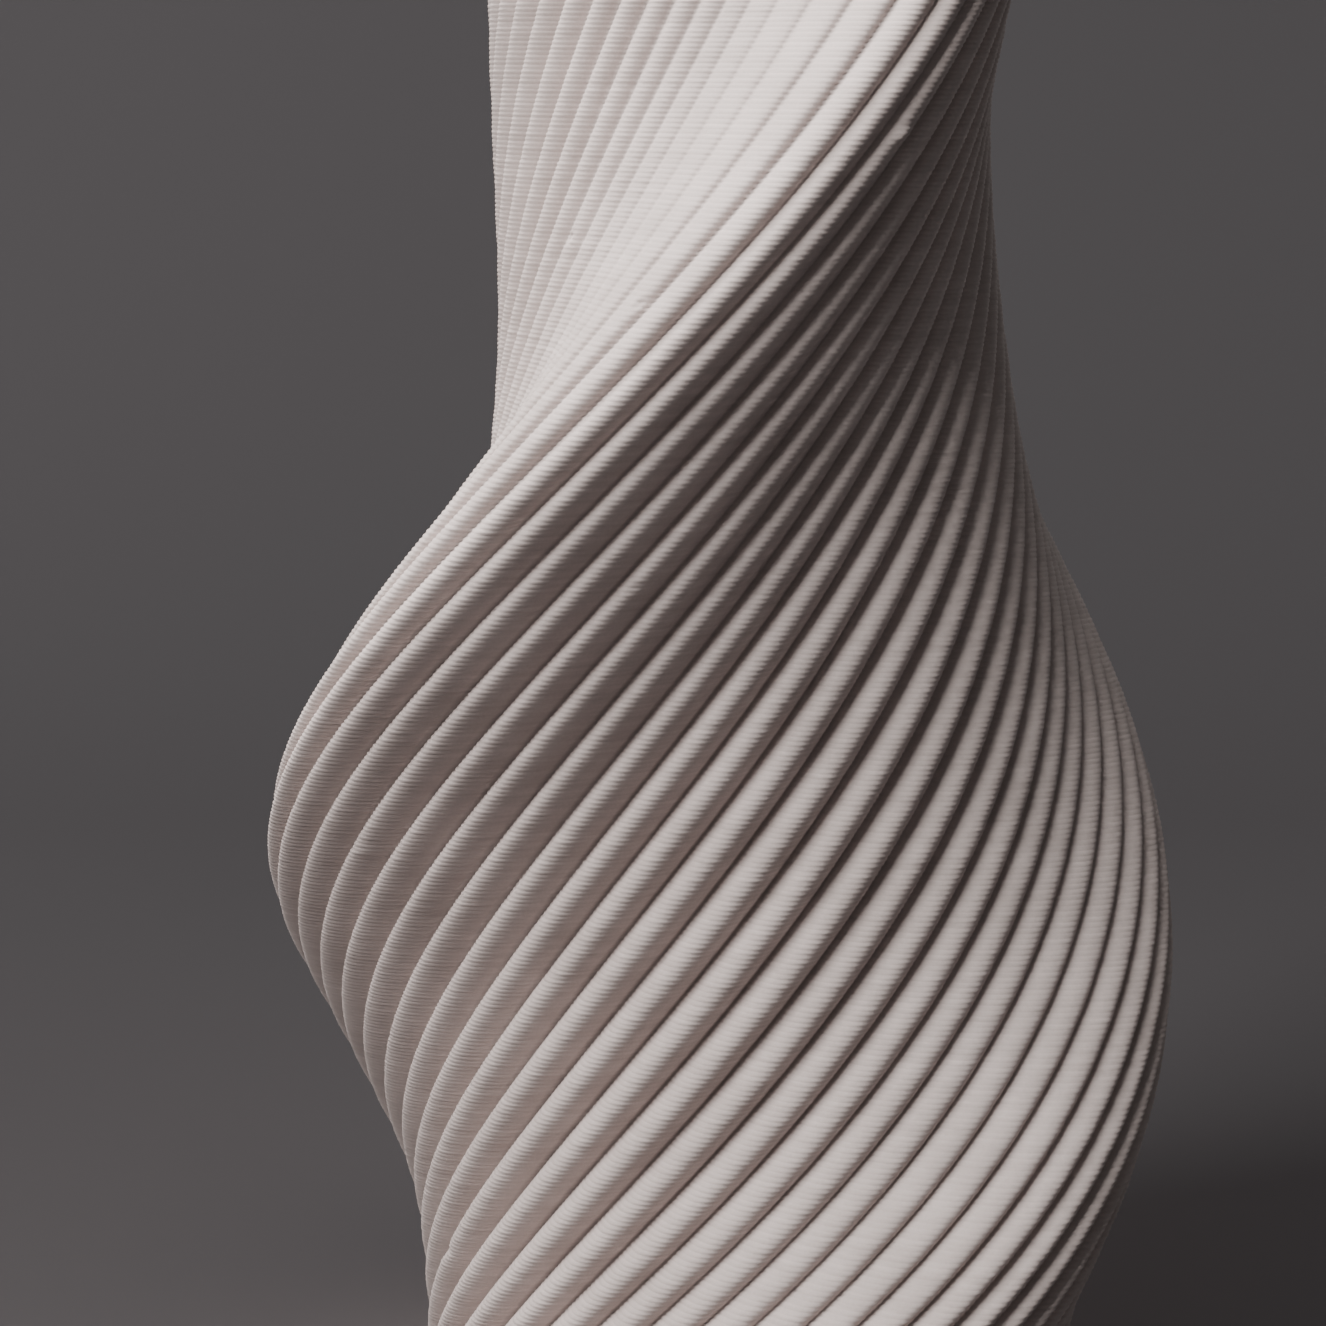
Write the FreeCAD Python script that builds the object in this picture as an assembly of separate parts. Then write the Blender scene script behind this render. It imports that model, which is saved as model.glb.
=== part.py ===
import FreeCAD, Part
import math
import os

# A tall twisted vessel, printed in clay as one continuous bead.
# Millimetres and degrees. +Z is up and the origin is the middle of the underside, on the twist axis.

# Overall shape
HEIGHT = 360.0
FLOOR_THICKNESS = 4.0
TWIST = 239.0             # how far the section turns from foot to rim, anticlockwise from above
TWIST_LEAD = 0.173        # by what share it turns faster than average at the foot, and slower at the rim

# How the section changes size with height: (height, scale)
SIZE_STATIONS = [(0.0, 1.03), (30.0, 1.038), (90.0, 1.0), (165.0, 0.936),
                 (245.0, 0.835), (320.0, 0.733), (HEIGHT, 0.666)]

# The section at the foot, at full scale: a round core with lobes on it: (reach, direction, tightness)
CORE_RADIUS = 68.7
LOBES = [(19.5, 84.5, 27.6),    # crest of the main ridge
         (24.3, 99.6, 8.6),     # shoulder on one side of the main ridge
         (23.3, 267.4, 8.6),    # second ridge, opposite the first
         (1.6, 227.8, 28.1),
         (7.7, 302.9, 3.1),
         (-4.1, 174.9, 5.2),
         (-9.4, 14.1, 2.0)]     # hollow flank

# Ribs: how many, where the first groove is, and how they crowd: (waves round, degrees, phase)
RIBS = 48
FIRST_GROOVE = -22.4
CROWDING = [(1, 1.5, 66.8), (2, 9.3, -32.5), (3, 0.7, 5.3), (4, 1.0, -89.3)]
RIB_DEPTH = 3.0           # where the ribs are RIB_PITCH apart, and less where they are closer
RIB_PITCH = 10.4
RIB_ROUNDING = 0.86       # half a rib's width over the radius it is rounded to

# The printed wall, measured towards the axis
WALL = 3.4

# How finely the surfaces are described
POLES_PER_RIB = 7
FLATS_PER_RIB = 3
POLE_ROWS = 56
DEGREE = 3


def wave(amount, turns, phase, angle):
    return amount * math.sin(turns * angle + math.radians(phase))


def groove_direction(rib):
    """Direction of a groove at the foot, in radians; rib is its number, and may be a fraction."""
    even = 2.0 * math.pi * rib / RIBS
    crowd = sum(wave(amount, turns, phase, even) for turns, amount, phase in CROWDING)
    return even + math.radians(FIRST_GROOVE + crowd)


def section_radius(direction):
    """Distance from the axis to the groove bottoms at full scale."""
    radius = CORE_RADIUS
    for reach, towards, tightness in LOBES:
        radius += reach * math.exp(tightness * (math.cos(direction - math.radians(towards)) - 1.0))
    return radius


def rib_pitch(rib):
    """Distance at full scale between the grooves on either side of this place."""
    first, second = (groove_direction(rib + half) for half in (-0.5, 0.5))
    a, b = section_radius(first), section_radius(second)
    return math.sqrt(a * a + b * b - 2.0 * a * b * math.cos(second - first))


def rib_rise(rib):
    """How far a rib has risen from its groove, from 0 to 1, on a round arc from groove to groove."""
    across = 2.0 * (rib % 1.0) - 1.0
    lowest = math.sqrt(1.0 - RIB_ROUNDING ** 2)
    return (math.sqrt(1.0 - (RIB_ROUNDING * across) ** 2) - lowest) / (1.0 - lowest)


def size_curve():
    curve = Part.BSplineCurve()
    points = [FreeCAD.Vector(height, scale, 0.0) for height, scale in SIZE_STATIONS]
    heights = [height for height, scale in SIZE_STATIONS]
    curve.interpolate(Points=points, Parameters=heights)
    return curve


SIZE_CURVE = size_curve()


def size_at(height):
    return SIZE_CURVE.value(height).y


def turn_at(height):
    """How far the section has turned at this height, in radians."""
    part = height / HEIGHT
    return math.radians(TWIST * (part + TWIST_LEAD * part * (1.0 - part)))


def wall_point(rib, height, inset):
    """Point on the outside of the wall, or inset from it towards the axis."""
    direction = groove_direction(rib)
    size = size_at(height)
    depth = RIB_DEPTH * (rib_pitch(rib) * size / RIB_PITCH) ** 2
    radius = section_radius(direction) * size + depth * rib_rise(rib) - inset
    turned = direction + turn_at(height)
    return FreeCAD.Vector(radius * math.cos(turned), radius * math.sin(turned), height)


def knots_for(poles, degree):
    """Knots and multiplicities of a spline that starts and ends on its first and last poles."""
    knots = list(range(poles - degree + 1))
    mults = [1] * len(knots)
    mults[0] = mults[-1] = degree + 1
    return knots, mults


def strip(first, last, across, inset, heights):
    """The wall's surface from one place on the ribs to another, with this many poles across it."""
    places = [first + (last - first) * pole / (across - 1) for pole in range(across)]
    poles = [[wall_point(place, height, inset) for height in heights] for place in places]
    degree = min(DEGREE, across - 1)
    across_knots, across_mults = knots_for(across, degree)
    up_knots, up_mults = knots_for(len(heights), DEGREE)
    surface = Part.BSplineSurface()
    surface.buildFromPolesMultsKnots(poles, across_mults, up_mults, across_knots, up_knots,
                                     False, False, degree, DEGREE)
    return surface.toShape()


def spread(bottom, top, rows):
    return [bottom + (top - bottom) * row / (rows - 1) for row in range(rows)]


def round_ribs(inset, heights):
    """A rounded face for each rib, from groove to groove."""
    return [strip(rib, rib + 1, POLES_PER_RIB, inset, heights) for rib in range(RIBS)]


def plain_ribs(inset, heights):
    """The same ribs with a few flats each, for the inside."""
    flats = RIBS * FLATS_PER_RIB
    return [strip(flat / FLATS_PER_RIB, (flat + 1) / FLATS_PER_RIB, 2, inset, heights)
            for flat in range(flats)]


def edge_wire(faces, height):
    """The closed line of the faces' edges that lie at this height."""
    edges = [edge for face in faces for edge in face.Edges
             if abs(edge.BoundBox.ZMin - height) < 0.001 and abs(edge.BoundBox.ZMax - height) < 0.001]
    return Part.Wire(Part.__sortEdges__(edges))


def closed_solid(faces):
    shell = Part.Shell(faces)
    shell.sewShape()
    return Part.Solid(shell)


def printed_floor():
    """Solid first layers with the same ribbed outline as the foot of the wall."""
    side = round_ribs(0.0, spread(0.0, FLOOR_THICKNESS, DEGREE + 1))
    lids = [Part.Face(edge_wire(side, height)) for height in (0.0, FLOOR_THICKNESS)]
    return closed_solid(side + lids)


def printed_wall():
    """One bead wide all the way up, from the top of the floor to the rim."""
    heights = spread(FLOOR_THICKNESS, HEIGHT, POLE_ROWS)
    outside = round_ribs(0.0, heights)
    inside = plain_ribs(WALL, heights)
    ends = [Part.Face([edge_wire(outside, height), edge_wire(inside, height)])
            for height in (FLOOR_THICKNESS, HEIGHT)]
    return closed_solid(outside + inside + ends)


def export(node, shape):
    shape.exportStep(os.path.join("parts", node + ".step"))


os.makedirs("parts", exist_ok=True)
export("printed_floor", printed_floor())
export("printed_wall", printed_wall())
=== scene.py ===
import math

import bpy
import numpy as np
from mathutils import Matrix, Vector


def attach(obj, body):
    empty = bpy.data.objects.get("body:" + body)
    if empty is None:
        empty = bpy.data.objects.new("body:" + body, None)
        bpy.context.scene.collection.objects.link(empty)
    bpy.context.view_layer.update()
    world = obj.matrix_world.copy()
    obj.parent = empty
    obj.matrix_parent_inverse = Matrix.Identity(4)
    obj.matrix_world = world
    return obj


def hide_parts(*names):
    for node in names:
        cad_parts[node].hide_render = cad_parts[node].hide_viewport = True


# A tall twisted vessel, printed in clay as one continuous bead. Its sizes are the CAD part's own, in
# millimetres and degrees; MM turns them into metres.

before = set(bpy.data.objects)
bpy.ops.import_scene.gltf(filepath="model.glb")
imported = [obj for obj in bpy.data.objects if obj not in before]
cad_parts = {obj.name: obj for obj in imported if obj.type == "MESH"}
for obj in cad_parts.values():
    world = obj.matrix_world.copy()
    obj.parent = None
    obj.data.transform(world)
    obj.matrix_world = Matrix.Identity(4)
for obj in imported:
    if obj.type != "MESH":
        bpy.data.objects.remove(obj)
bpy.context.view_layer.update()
MM = 0.001

# Overall shape
HEIGHT = 360.0
FLOOR_THICKNESS = 4.0
TWIST = 239.0             # how far the section turns from foot to rim, anticlockwise from above
TWIST_LEAD = 0.173        # by what share it turns faster than average at the foot, and slower at the rim

# How the section changes size with height: (height, scale)
SIZE_STATIONS = [(0.0, 1.03), (30.0, 1.038), (90.0, 1.0), (165.0, 0.936),
                 (245.0, 0.835), (320.0, 0.733), (HEIGHT, 0.666)]

# The section at the foot, at full scale: a round core with lobes on it: (reach, direction, tightness)
CORE_RADIUS = 68.7
LOBES = [(19.5, 84.5, 27.6),    # crest of the main ridge
         (24.3, 99.6, 8.6),     # shoulder on one side of the main ridge
         (23.3, 267.4, 8.6),    # second ridge, opposite the first
         (1.6, 227.8, 28.1),
         (7.7, 302.9, 3.1),
         (-4.1, 174.9, 5.2),
         (-9.4, 14.1, 2.0)]     # hollow flank

# Ribs: how many, where the first groove is, and how they crowd: (waves round, degrees, phase)
RIBS = 48
FIRST_GROOVE = -22.4
CROWDING = [(1, 1.5, 66.8), (2, 9.3, -32.5), (3, 0.7, 5.3), (4, 1.0, -89.3)]
RIB_DEPTH = 3.0           # where the ribs are RIB_PITCH apart, and less where they are closer
RIB_PITCH = 10.4
RIB_ROUNDING = 0.86       # half a rib's width over the radius it is rounded to
WALL = 3.4                # measured towards the axis

# The ribs as they look outside: their crests are the CAD's, and their grooves are deeper and softer
SEEN_DEPTH = 4.7
SEEN_GROWTH = 1.5         # the power of the ribs' spacing that this depth follows; the CAD's is 2
SEEN_ROUNDING = 0.91
SEEN_SOFTNESS = 0.09      # how far the groove bottoms are rounded out
SOFT_POWER = 6            # keeps that rounding near the bottoms

# The ribs beside each ridge are shallower: (share, direction, tightness)
FADES = [(0.6, 65.0, 9.0), (0.3, 243.0, 9.0)]

# Small flaws in the clay, outwards if positive: (rib, height, reach along, reach up, how far)
FLAWS = [(16.62, 282.2, 1.5, 1.1, 0.9), (7.33, 260.6, 1.0, 0.9, -0.8), (13.69, 249.7, 0.9, 0.8, -0.7),
         (19.47, 193.0, 0.9, 0.8, -0.3), (26.35, 38.1, 1.6, 1.3, -0.7), (18.75, 130.8, 1.5, 1.0, 0.5)]
FLAW_END = 4.0            # how many reaches away from its middle a flaw ends

# The printed layers: their height, and the profile of one bead as (place up the layer, how far in)
LAYER = 1.0
BEAD_ROWS = [(0.0, 0.17), (0.28, 0.0), (0.72, 0.0)]
BEAD_STEP = 0.7           # how far each bead stands over the one below, as a share of a clean step
WOBBLE = 0.028            # how unevenly the beads lie
WOBBLE_OUT = 1.5          # the furthest out and in that a bead may lie, in WOBBLEs
WOBBLE_IN = 3.0
DRIFT = 0.35              # size of each wave that drifts round a bead, in WOBBLEs
DRIFT_WAVES = (3, 7, 13, 29, 53, 97)
SEED = 7

# How finely the surfaces are described
COLUMNS = RIBS * 12
FINE_INSIDE = 300.0       # the inside shows its beads from here up; below it has a row every COARSE_ROW
COARSE_ROW = 4.0

# The rounded rim: (below the top, how far in)
RIM_ROWS = [(0.7, 0.02), (0.4, 0.14), (0.15, 0.42), (0.0, 1.0)]

# The floor's beads run round and round, one inside the next: (place across the bead, how low it is)
FLOOR_PATH = 3.4          # their spacing
FLOOR_RIPPLE = [(0.0, 1.0), (0.18, 0.3), (0.5, 0.0), (0.82, 0.3)]
DIP_UNDER = 0.2           # how deep the creases between them are, underneath and on top
DIP_OVER = 0.4
FLOOR_INSET = 0.1         # the outermost bead lies this far in from the wall's outside
RIB_REACH = 6.0           # the ribs die out over one part in this many of the way to the middle

# The clay's two colours, and the patterns that mix them: (scale, detail, roughness) and the share of each
CLAY_LIGHT = (0.66, 0.568, 0.542)
CLAY_DARK = (0.53, 0.453, 0.43)
MOTTLE = (28.0, 4.0, 0.55)
STREAK = (40.0, 2.0, 0.5)
SPECKLE = (1500.0, 3.0, 0.6)
MOTTLE_SHARE = 0.45
STREAK_SHARE = 0.35
SPECKLE_SHARE = 0.2
STREAK_STRETCH = (1.0, 1.0, 22.0)   # streaks lie along the layers
PATTERN_RANGE = (0.38, 0.62)        # the part of the pattern that is spread from dark to light

# How the clay takes light, and its finest grain
CLAY_ROUGHNESS = (0.68, 0.86)
CLAY_SPECULAR = 0.25
GRAIN = (2200.0, 4.0, 0.6)
GRAIN_STRENGTH = 0.35
GRAIN_HEIGHT = 0.1 * MM

# The stage, in metres: a floor that sweeps up into a wall behind
FLOOR_COLOUR = (0.46, 0.43, 0.442)
FLOOR_ROUGHNESS = 0.9
STAGE_HALF_WIDTH = 4.0
STAGE_FRONT = -3.0
SWEEP_START = 0.6
SWEEP_RADIUS = 0.8
SWEEP_STEPS = 12
STAGE_TOP = 3.0

# Square soft lamps, aimed at LIT: (name, azimuth and elevation from the front, metres off, side, watts)
LIT = Vector((0.0, 0.0, 0.2))
VESSEL_LAMPS = [("high_side", -100.0, 70.0, 1.2, 0.3, 20.0),
                ("key", -50.0, 45.0, 1.2, 1.0, 29.0),
                ("back_fill", 140.0, 15.0, 1.2, 1.0, 2.0),
                ("front_fill", -15.0, 5.0, 1.2, 1.0, 0.4)]
FLOOR_LAMPS = [("key_on_floor", -50.0, 28.0, 2.5, 1.2, 16.3),
               ("fill_on_floor", 50.0, 30.0, 2.5, 1.2, 1.2)]
WARM = (1.0, 0.98, 0.96)
WHITE = (1.0, 1.0, 1.0)
WORLD_STRENGTH = 0.06

# The camera, at the photograph's viewing angle
CAMERA_DISTANCE = 775.84
CAMERA_ELEVATION = 9.581
CAMERA_AIM = Vector((-17.06, 0.0, 164.89)) * MM
VIEW_WIDTH = 294.6667     # how much it sees across, at the aim
SENSOR_WIDTH = 36.0


def crowded(rib):
    """Direction of a groove at the foot, in radians, for arrays of rib numbers."""
    even = 2.0 * math.pi * rib / RIBS
    crowd = FIRST_GROOVE + sum(amount * np.sin(turns * even + math.radians(phase))
                               for turns, amount, phase in CROWDING)
    return even + np.radians(crowd)


def bump(direction, towards, tightness):
    """A smooth bump round the section, 1 where direction is towards and less on either side."""
    return np.exp(tightness * (np.cos(direction - math.radians(towards)) - 1.0))


def section_radius(direction):
    """Distance from the axis to the CAD's groove bottoms at full scale."""
    radius = np.full_like(direction, CORE_RADIUS)
    for reach, towards, tightness in LOBES:
        radius += reach * bump(direction, towards, tightness)
    return radius


def rib_pitch(rib):
    """Distance at full scale between the grooves on either side of this place."""
    first, second = crowded(rib - 0.5), crowded(rib + 0.5)
    a, b = section_radius(first), section_radius(second)
    return np.sqrt(a * a + b * b - 2.0 * a * b * np.cos(second - first))


def spline_slopes(at, value):
    """Slopes that make cubics between the stations join smoothly; four stations set each end's."""
    gap, rise = np.diff(at), np.diff(value) / np.diff(at)
    matrix, target = np.eye(len(at)), np.zeros(len(at))
    target[0] = np.polyfit(at[:4] - at[0], value[:4], 3)[2]
    target[-1] = np.polyfit(at[-4:] - at[-1], value[-4:], 3)[2]
    for i in range(1, len(at) - 1):
        matrix[i, i - 1:i + 2] = gap[i], 2.0 * (gap[i - 1] + gap[i]), gap[i - 1]
        target[i] = 3.0 * (gap[i] * rise[i - 1] + gap[i - 1] * rise[i])
    return np.linalg.solve(matrix, target)


STATION_AT = np.array([height for height, scale in SIZE_STATIONS])
STATION_SCALE = np.array([scale for height, scale in SIZE_STATIONS])
STATION_SLOPE = spline_slopes(STATION_AT, STATION_SCALE)


def size_at(height):
    """Scale of the section at these heights."""
    i = np.clip(np.searchsorted(STATION_AT, height, side="right") - 1, 0, len(STATION_AT) - 2)
    gap = STATION_AT[i + 1] - STATION_AT[i]
    t = (height - STATION_AT[i]) / gap
    return ((2 * t - 3) * t * t * (STATION_SCALE[i] - STATION_SCALE[i + 1]) + STATION_SCALE[i]
            + gap * ((t - 1) ** 2 * t * STATION_SLOPE[i] + (t - 1) * t * t * STATION_SLOPE[i + 1]))


def turn_at(height):
    """How far the section has turned at this height, in radians."""
    part = height / HEIGHT
    return np.radians(TWIST * (part + TWIST_LEAD * part * (1.0 - part)))


def rib_rise(rib, rounding, softness=0.0):
    """How far a rib has risen from its groove, from 0 to 1, on a round arc from groove to groove."""
    across = 2.0 * (rib % 1.0) - 1.0
    across *= (1.0 - softness * across ** SOFT_POWER) / (1.0 - softness)
    lowest = math.sqrt(1.0 - rounding ** 2)
    return (np.sqrt(1.0 - (rounding * across) ** 2) - lowest) / (1.0 - lowest)


def openness(rib, size):
    """How far apart the ribs are, as a share of RIB_PITCH."""
    return rib_pitch(rib) * size / RIB_PITCH


def seen_relief(rib, size):
    """How far the outside stands out from the CAD's groove bottoms, or in if negative."""
    depth = np.full_like(rib, SEEN_DEPTH)
    for share, towards, tightness in FADES:
        depth -= SEEN_DEPTH * share * bump(crowded(rib), towards, tightness)
    apart = openness(rib, size)
    fallen = 1.0 - rib_rise(rib, SEEN_ROUNDING, SEEN_SOFTNESS)
    return RIB_DEPTH * apart ** 2 - depth * apart ** SEEN_GROWTH * fallen


def inner_relief(rib, size):
    """The same for the inside, which follows the CAD's own ribs."""
    return RIB_DEPTH * openness(rib, size) ** 2 * rib_rise(rib, RIB_ROUNDING) - WALL


def flaw_at(rib, height):
    """How far out the flaws push the surface."""
    out = np.zeros_like(rib)
    for place, level, along, up, far in FLAWS:
        if abs(height - level) < FLAW_END * up:
            aside = (rib - place) * RIB_PITCH / along
            out += far * np.exp(-0.5 * (aside ** 2 + ((height - level) / up) ** 2))
    return out


def layer_rows(bottom, top, rows):
    """(height of the row, height of the path it follows, how far in) for beads from bottom to top."""
    out = []
    for layer in range(round((top - bottom) / LAYER)):
        base = bottom + layer * LAYER
        for place, inset in rows:
            path = base + place * LAYER
            if place > 0.0:
                path += BEAD_STEP * (0.5 - place) * LAYER
            out.append((base + place * LAYER, path, inset))
    out.append((top, top, rows[0][1]))
    return out


def bead_wobble(bottom, top):
    """How far in each layer lies at each column: a little of its own, and a little that drifts round it."""
    random = np.random.default_rng(SEED)
    layers = round((top - bottom) / LAYER)
    turn = 2.0 * math.pi * np.arange(COLUMNS) / COLUMNS
    wobble = np.repeat(random.normal(0.0, WOBBLE, (layers, 1)), COLUMNS, axis=1)
    for waves in DRIFT_WAVES:
        phase = random.uniform(0.0, 2.0 * math.pi, (layers, 1))
        wobble += DRIFT * WOBBLE * np.sin(waves * turn + phase)
    return np.clip(wobble, -WOBBLE_OUT * WOBBLE, WOBBLE_IN * WOBBLE) + WOBBLE_OUT * WOBBLE


def ring_points(direction, radius, z, turn):
    turned = direction + turn
    return np.stack([radius * np.cos(turned), radius * np.sin(turned), np.full_like(radius, z)], axis=1)


def ring(row, outside, wobble=0.0):
    """One closed ring of points at a row, on the outside or the inside of the wall."""
    z, path, inset = row
    rib = np.arange(COLUMNS) * RIBS / COLUMNS
    direction, size = crowded(rib), size_at(np.full_like(rib, path))
    radius = section_radius(direction) * size
    if outside:
        radius += seen_relief(rib, size) + flaw_at(rib, z) - inset - wobble
    else:
        radius += inner_relief(rib, size) + inset + wobble
    return ring_points(direction, radius, z, turn_at(path))


def mesh_from_rings(name, rings, closed, centres=()):
    """A mesh of quads between successive rings; closed joins the last ring to the first, and two centres
    close the first and the last ring with fans."""
    points = np.concatenate(list(rings) + [np.array(centres).reshape(-1, 3)]) * MM
    count, columns = len(rings), len(rings[0])
    first = np.arange(count if closed else count - 1)
    rows, cols = np.meshgrid(first, np.arange(columns), indexing="ij")
    above, beside = (rows + 1) % count, (cols + 1) % columns
    quads = np.stack([rows * columns + cols, rows * columns + beside,
                      above * columns + beside, above * columns + cols], axis=-1).reshape(-1, 4)
    fans = np.zeros((0, 3), dtype=int)
    if len(centres):
        here = np.arange(columns)
        beside, last = (here + 1) % columns, (count - 1) * columns
        middle = np.full(columns, count * columns)
        fans = np.concatenate([np.stack([beside, here, middle], axis=1),
                               np.stack([last + here, last + beside, middle + 1], axis=1)])
    starts = np.concatenate([np.arange(len(quads)) * 4, quads.size + np.arange(len(fans)) * 3])
    corners = np.concatenate([quads.ravel(), fans.ravel()])
    mesh = bpy.data.meshes.new(name)
    mesh.vertices.add(len(points))
    mesh.vertices.foreach_set("co", points.astype(np.float32).ravel())
    mesh.loops.add(len(corners))
    mesh.loops.foreach_set("vertex_index", corners.astype(np.int32))
    mesh.polygons.add(len(starts))
    mesh.polygons.foreach_set("loop_start", starts.astype(np.int32))
    mesh.update(calc_edges=True)
    mesh.validate()
    return piece_of(name, mesh)


def piece_of(name, mesh):
    """A smooth-shaded object of this mesh, put in the scene."""
    mesh.shade_smooth()
    piece = bpy.data.objects.new(name, mesh)
    bpy.context.scene.collection.objects.link(piece)
    return piece


def build_wall():
    """Beads on the outside from floor to rim, a rounded rim, and beads on the inside near the top."""
    wobble = bead_wobble(FLOOR_THICKNESS, HEIGHT)
    rings = []
    for number, row in enumerate(layer_rows(FLOOR_THICKNESS, HEIGHT - LAYER, BEAD_ROWS)):
        layer, place = divmod(number, len(BEAD_ROWS))
        here, below = wobble[layer], wobble[max(layer - 1, 0)]
        rings.append(ring(row, True, 0.5 * (below + here) if place == 0 else here))
    rim = [(HEIGHT - down, HEIGHT - LAYER / 2.0, inset) for down, inset in RIM_ROWS]
    rings += [ring(row, True) for row in rim]
    rings += [ring(row, False) for row in reversed(rim)]
    fine = layer_rows(FINE_INSIDE, HEIGHT - LAYER, BEAD_ROWS[:2])
    rings += [ring(row, False) for row in reversed(fine)]
    coarse = list(np.arange(FINE_INSIDE - COARSE_ROW, FLOOR_THICKNESS, -COARSE_ROW))
    rings += [ring((z, z, 0.0), False) for z in coarse + [FLOOR_THICKNESS]]
    return mesh_from_rings("printed_wall_clay", rings, True)


def floor_ring(path, z):
    """A ring on the floor: path is how far in it is, as a share of the way to the middle."""
    rib = np.arange(COLUMNS) * RIBS / COLUMNS
    direction, size = crowded(rib), size_at(np.full_like(rib, z))
    ribs = seen_relief(rib, size) * max(0.0, 1.0 - RIB_REACH * path)
    lobes = section_radius(direction) * size - CORE_RADIUS
    radius = (CORE_RADIUS + lobes * (1.0 - path) + ribs - FLOOR_INSET) * (1.0 - path)
    return ring_points(direction, radius, z, turn_at(z))


def build_floor():
    """Solid layers, with beads to be seen on top, underneath and round the side."""
    beads = round(CORE_RADIUS / FLOOR_PATH)
    places = [((bead + across) / beads, low) for bead in range(beads) for across, low in FLOOR_RIPPLE][:-1]
    under = [floor_ring(place, DIP_UNDER * low) for place, low in reversed(places)]
    side = [ring(row, True) for row in layer_rows(0.0, FLOOR_THICKNESS, BEAD_ROWS)[1:-1]]
    over = [floor_ring(place, FLOOR_THICKNESS - DIP_OVER * low) for place, low in places]
    centres = [(0.0, 0.0, DIP_UNDER / 2.0), (0.0, 0.0, FLOOR_THICKNESS - DIP_OVER / 2.0)]
    return mesh_from_rings("printed_floor_clay", under + side + over, False, centres)


def fired_clay():
    """Matte unglazed clay: mottled, streaked along its layers, speckled, with a fine grain."""
    material = bpy.data.materials.new("fired_clay")
    material.use_nodes = True
    nodes, links = material.node_tree.nodes, material.node_tree.links
    surface = nodes["Principled BSDF"]
    place = nodes.new("ShaderNodeTexCoord")

    def noise(pattern, stretch=(1.0, 1.0, 1.0)):
        mapping = nodes.new("ShaderNodeMapping")
        mapping.inputs["Scale"].default_value = stretch
        links.new(place.outputs["Object"], mapping.inputs["Vector"])
        texture = nodes.new("ShaderNodeTexNoise")
        for name, value in zip(("Scale", "Detail", "Roughness"), pattern):
            texture.inputs[name].default_value = value
        links.new(mapping.outputs["Vector"], texture.inputs["Vector"])
        return texture.outputs["Fac"]

    def maths(operation, first, second):
        node = nodes.new("ShaderNodeMath")
        node.operation = operation
        for socket, value in zip(node.inputs, (first, second)):
            if isinstance(value, float):
                socket.default_value = value
            else:
                links.new(value, socket)
        return node.outputs["Value"]

    def spread(value, ends, names):
        node = nodes.new("ShaderNodeMapRange")
        for name, end in zip(names, ends):
            node.inputs[name].default_value = end
        links.new(value, node.inputs["Value"])
        return node.outputs["Result"]

    speckle = noise(SPECKLE)
    pattern = maths("MULTIPLY", noise(MOTTLE), MOTTLE_SHARE)
    pattern = maths("ADD", pattern, maths("MULTIPLY", noise(STREAK, STREAK_STRETCH), STREAK_SHARE))
    pattern = maths("ADD", pattern, maths("MULTIPLY", speckle, SPECKLE_SHARE))
    tone = nodes.new("ShaderNodeMix")
    tone.data_type = "RGBA"
    tone.inputs["A"].default_value = (*CLAY_DARK, 1.0)
    tone.inputs["B"].default_value = (*CLAY_LIGHT, 1.0)
    links.new(spread(pattern, PATTERN_RANGE, ("From Min", "From Max")), tone.inputs["Factor"])
    links.new(tone.outputs["Result"], surface.inputs["Base Color"])
    links.new(spread(speckle, CLAY_ROUGHNESS, ("To Min", "To Max")), surface.inputs["Roughness"])
    surface.inputs["Specular IOR Level"].default_value = CLAY_SPECULAR

    grain = nodes.new("ShaderNodeBump")
    grain.inputs["Strength"].default_value = GRAIN_STRENGTH
    grain.inputs["Distance"].default_value = GRAIN_HEIGHT
    links.new(noise(GRAIN), grain.inputs["Height"])
    links.new(grain.outputs["Normal"], surface.inputs["Normal"])
    return material


def finish_piece(piece, node):
    piece.data.materials.append(clay)
    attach(piece, "root")
    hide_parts(node)
    return piece


def matte(name, colour, roughness):
    material = bpy.data.materials.new(name)
    material.use_nodes = True
    surface = material.node_tree.nodes["Principled BSDF"]
    surface.inputs["Base Color"].default_value = (*colour, 1.0)
    surface.inputs["Roughness"].default_value = roughness
    return material


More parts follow.
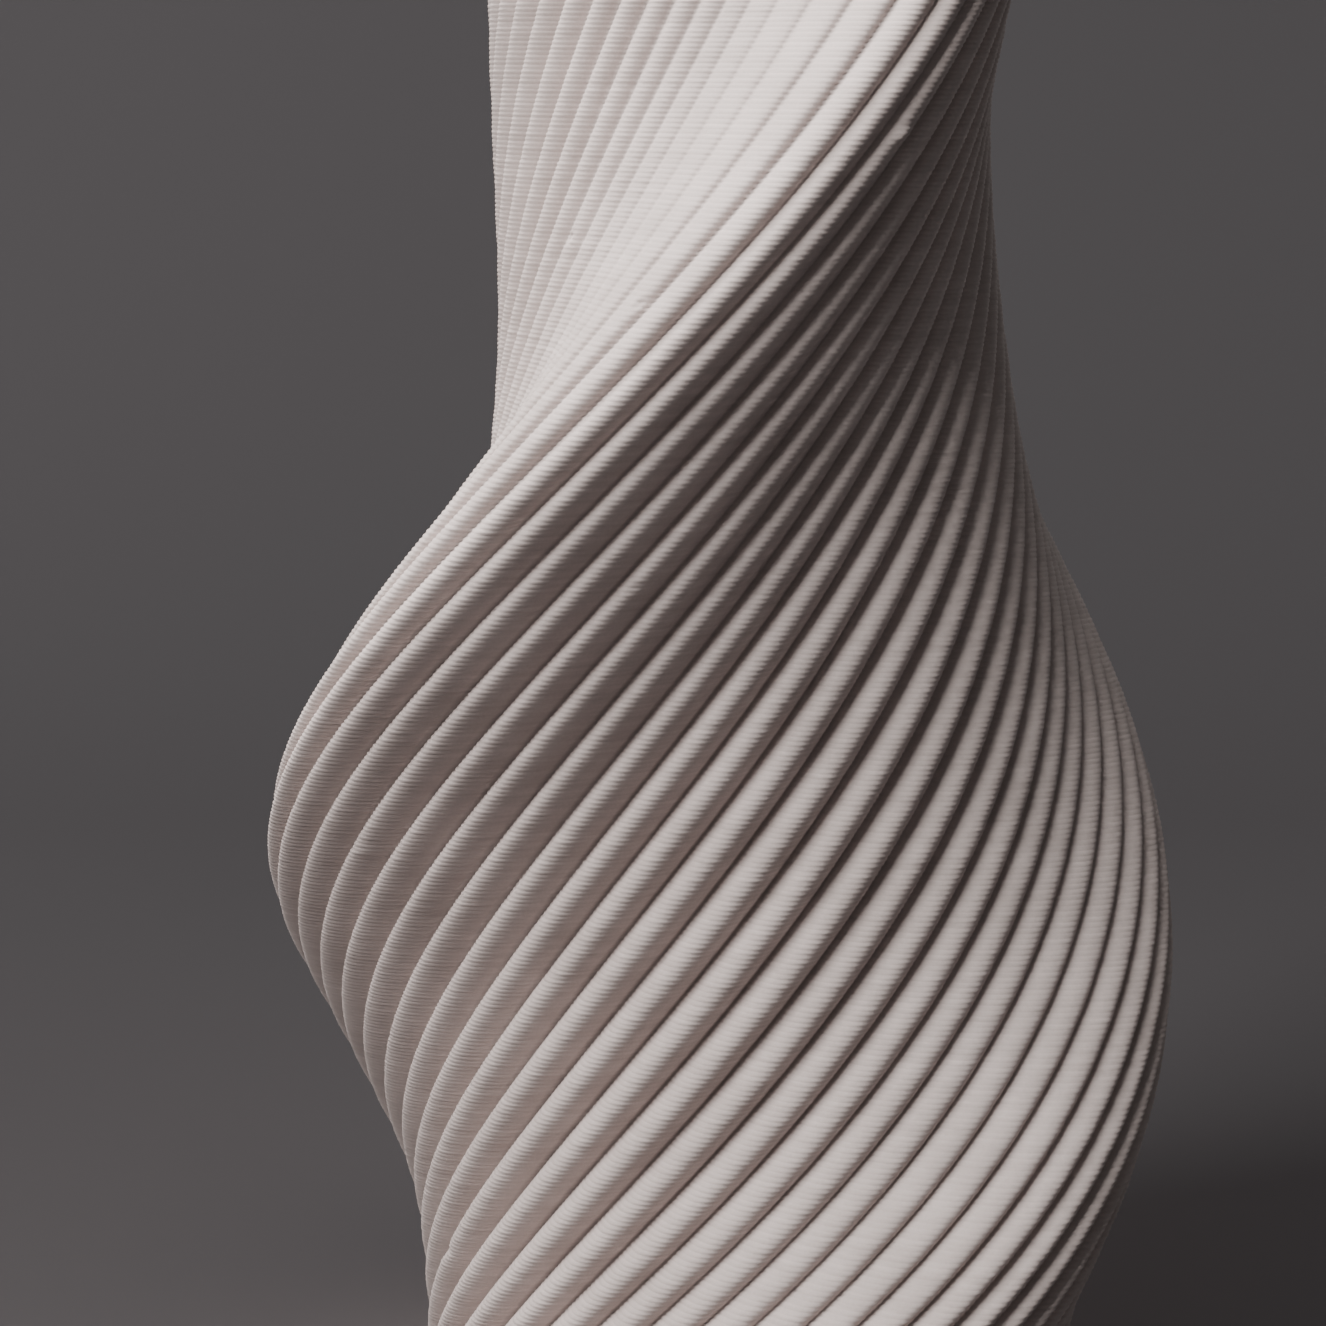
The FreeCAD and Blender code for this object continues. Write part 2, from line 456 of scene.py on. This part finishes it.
def backdrop():
    """A floor that sweeps up into a wall behind."""
    profile = [(STAGE_FRONT, 0.0), (SWEEP_START, 0.0)]
    for step in range(1, SWEEP_STEPS + 1):
        angle = math.radians(90.0 * step / SWEEP_STEPS)
        back, up = math.sin(angle), 1.0 - math.cos(angle)
        profile.append((SWEEP_START + SWEEP_RADIUS * back, SWEEP_RADIUS * up))
    profile.append((SWEEP_START + SWEEP_RADIUS, STAGE_TOP))
    points = [(x, y, z) for y, z in profile for x in (-STAGE_HALF_WIDTH, STAGE_HALF_WIDTH)]
    faces = [(2 * i, 2 * i + 1, 2 * i + 3, 2 * i + 2) for i in range(len(profile) - 1)]
    mesh = bpy.data.meshes.new("floor")
    mesh.from_pydata(points, [], faces)
    piece = piece_of("floor", mesh)
    piece.data.materials.append(matte("floor", FLOOR_COLOUR, FLOOR_ROUGHNESS))
    return piece


def lamp(name, azimuth, elevation, distance, side, power, colour, lit):
    """A soft lamp that falls only on the objects in lit."""
    a, e = math.radians(azimuth), math.radians(elevation)
    out = Vector((math.sin(a) * math.cos(e), -math.cos(a) * math.cos(e), math.sin(e)))
    data = bpy.data.lights.new(name, "AREA")
    data.shape = "SQUARE"
    data.size = side
    data.energy = power
    data.color = colour
    piece = bpy.data.objects.new(name, data)
    piece.location = LIT + distance * out
    aim_at(piece, -out)
    chosen = bpy.data.collections.new(name)
    for target in lit:
        chosen.objects.link(target)
    piece.light_linking.receiver_collection = chosen


def aim_at(piece, direction):
    """Put a lamp or camera in the scene, looking this way."""
    piece.rotation_mode = "QUATERNION"
    piece.rotation_quaternion = direction.to_track_quat("-Z", "Y")
    bpy.context.scene.collection.objects.link(piece)


def white_world(strength):
    world = bpy.data.worlds.new("studio")
    world.use_nodes = True
    background = world.node_tree.nodes["Background"]
    background.inputs["Color"].default_value = (*WHITE, 1.0)
    background.inputs["Strength"].default_value = strength
    bpy.context.scene.world = world


def add_camera():
    elevation = math.radians(CAMERA_ELEVATION)
    back = Vector((0.0, -math.cos(elevation), math.sin(elevation)))
    data = bpy.data.cameras.new("camera")
    data.sensor_width = SENSOR_WIDTH
    data.lens = SENSOR_WIDTH * CAMERA_DISTANCE / VIEW_WIDTH
    camera = bpy.data.objects.new("camera", data)
    camera.location = CAMERA_AIM + back * CAMERA_DISTANCE * MM
    aim_at(camera, -back)
    bpy.context.scene.camera = camera


clay = fired_clay()
vessel = [finish_piece(build_wall(), "printed_wall"), finish_piece(build_floor(), "printed_floor")]
stage = backdrop()
for numbers in VESSEL_LAMPS:
    lamp(*numbers, WARM, vessel)
for numbers in FLOOR_LAMPS:
    lamp(*numbers, WHITE, [stage])
white_world(WORLD_STRENGTH)
add_camera()
